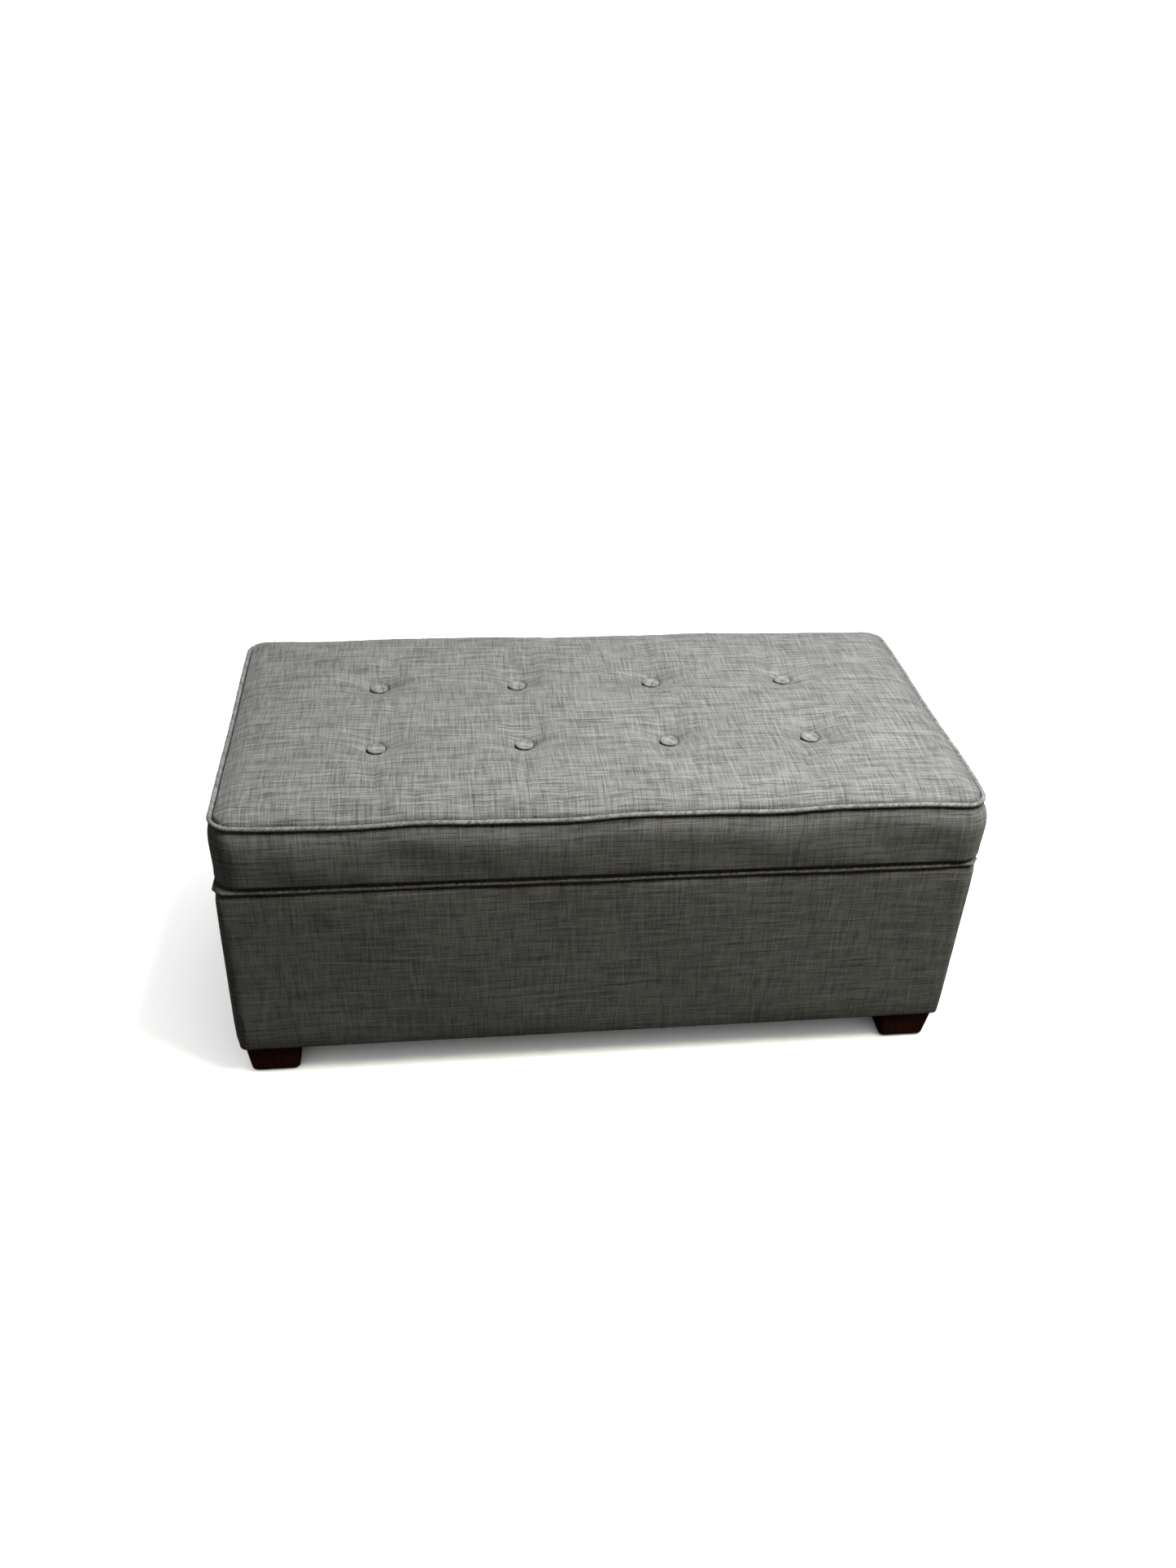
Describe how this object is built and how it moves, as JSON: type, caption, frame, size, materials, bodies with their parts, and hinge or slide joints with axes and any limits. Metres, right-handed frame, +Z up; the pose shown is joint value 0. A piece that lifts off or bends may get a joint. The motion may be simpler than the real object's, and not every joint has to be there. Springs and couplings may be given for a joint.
{
  "type": "storage bench",
  "caption": "Upholstered storage bench: a fabric-wrapped box on tapered wooden feet with a padded, buttoned, piped lid hinged along the back and held by soft-close stays.",
  "frame": {"origin": "on the floor under the middle of the bench", "axes": "+X along the bench to the right as seen from the front, -Y towards the front, +Z up"},
  "size_m": [1.0262, 0.5142, 0.457],
  "materials": {
    "upholstery": "heathered plain weave",
    "piping": "heathered plain weave over cord",
    "button_cloth": "heathered plain weave",
    "plywood": "raw sanded plywood",
    "pine": "raw pine",
    "dark_wood": "espresso stain, satin lacquer",
    "wadding": "polyester wadding",
    "foam": "upholstery foam",
    "lining_cloth": "non-woven lining",
    "zinc_steel": "zinc plated",
    "damper_plastic": "moulded",
    "glide_nylon": "moulded nylon",
    "bumper_rubber": "soft",
    "twine": "twisted polyester twine"
  },
  "bodies": {
    "box": {"front_panel": "plywood", "back_panel": "plywood", "left_panel": "plywood", "right_panel": "plywood", "bottom_panel": "plywood", "corner_post_front_left": "pine", "corner_post_front_right": "pine", "corner_post_back_left": "pine", "corner_post_back_right": "pine", "panel_screws": "zinc_steel", "box_wadding": "wadding", "box_side_cover": "upholstery", "box_rim_cover": "upholstery", "box_welt": "piping", "storage_lining": "lining_cloth", "dust_cover": "lining_cloth", "dust_cover_staples": "zinc_steel", "foot_front_left": "dark_wood", "foot_front_right": "dark_wood", "foot_back_left": "dark_wood", "foot_back_right": "dark_wood", "foot_glides": "glide_nylon", "foot_bolts": "zinc_steel", "foot_t_nuts": "zinc_steel", "rim_bumpers": "bumper_rubber", "hinge_box_leaves": "zinc_steel", "hinge_pins": "zinc_steel", "box_hardware_screws": "zinc_steel", "stay_damper_left": "damper_plastic", "stay_damper_right": "damper_plastic"},
    "lid": {"lid_deck": "plywood", "lid_foam": "foam", "lid_wadding": "wadding", "lid_top_cover": "upholstery", "lid_boxing": "upholstery", "lid_welt": "piping", "lid_lining": "lining_cloth", "lid_staples": "zinc_steel", "button_front_1": "button_cloth", "button_front_2": "button_cloth", "button_front_3": "button_cloth", "button_front_4": "button_cloth", "button_back_1": "button_cloth", "button_back_2": "button_cloth", "button_back_3": "button_cloth", "button_back_4": "button_cloth", "button_twines": "twine", "button_anchors": "zinc_steel", "hinge_lid_leaves": "zinc_steel", "lid_hardware_screws": "zinc_steel", "stay_bracket_left": "zinc_steel", "stay_bracket_right": "zinc_steel", "stay_bracket_pins": "zinc_steel"},
    "stay_lever_left": {"stay_lever_left": "zinc_steel", "stay_elbow_pin_left": "zinc_steel"},
    "stay_lever_right": {"stay_lever_right": "zinc_steel", "stay_elbow_pin_right": "zinc_steel"},
    "stay_link_left": {"stay_link_left": "zinc_steel"},
    "stay_link_right": {"stay_link_right": "zinc_steel"}
  },
  "joints": [
    {"name": "lid_hinge", "type": "hinge", "parent": "box", "child": "lid", "pos_m": [0, 0.2532, 0.3415], "axis": [-1, 0, 0], "range_deg": [0, 88]},
    {"name": "stay_lever_left_pivot", "type": "hinge", "parent": "box", "child": "stay_lever_left", "pos_m": [-0.47, 0.1532, 0.2795], "axis": [-1, 0, 0], "range_deg": [0, 88]},
    {"name": "stay_elbow_left", "type": "hinge", "parent": "stay_lever_left", "child": "stay_link_left", "pos_m": [-0.47, -0.0118, 0.264], "axis": [-1, 0, 0], "range_deg": [-88, 0]},
    {"name": "stay_lever_right_pivot", "type": "hinge", "parent": "box", "child": "stay_lever_right", "pos_m": [0.47, 0.1532, 0.2795], "axis": [-1, 0, 0], "range_deg": [0, 88]},
    {"name": "stay_elbow_right", "type": "hinge", "parent": "stay_lever_right", "child": "stay_link_right", "pos_m": [0.47, -0.0118, 0.264], "axis": [-1, 0, 0], "range_deg": [-88, 0]}
  ],
  "couplings": [
    {"joint": "stay_lever_left_pivot", "follows": "lid_hinge", "ratio": 1},
    {"joint": "stay_elbow_left", "follows": "lid_hinge", "ratio": -1},
    {"joint": "stay_lever_right_pivot", "follows": "lid_hinge", "ratio": 1},
    {"joint": "stay_elbow_right", "follows": "lid_hinge", "ratio": -1}
  ]
}
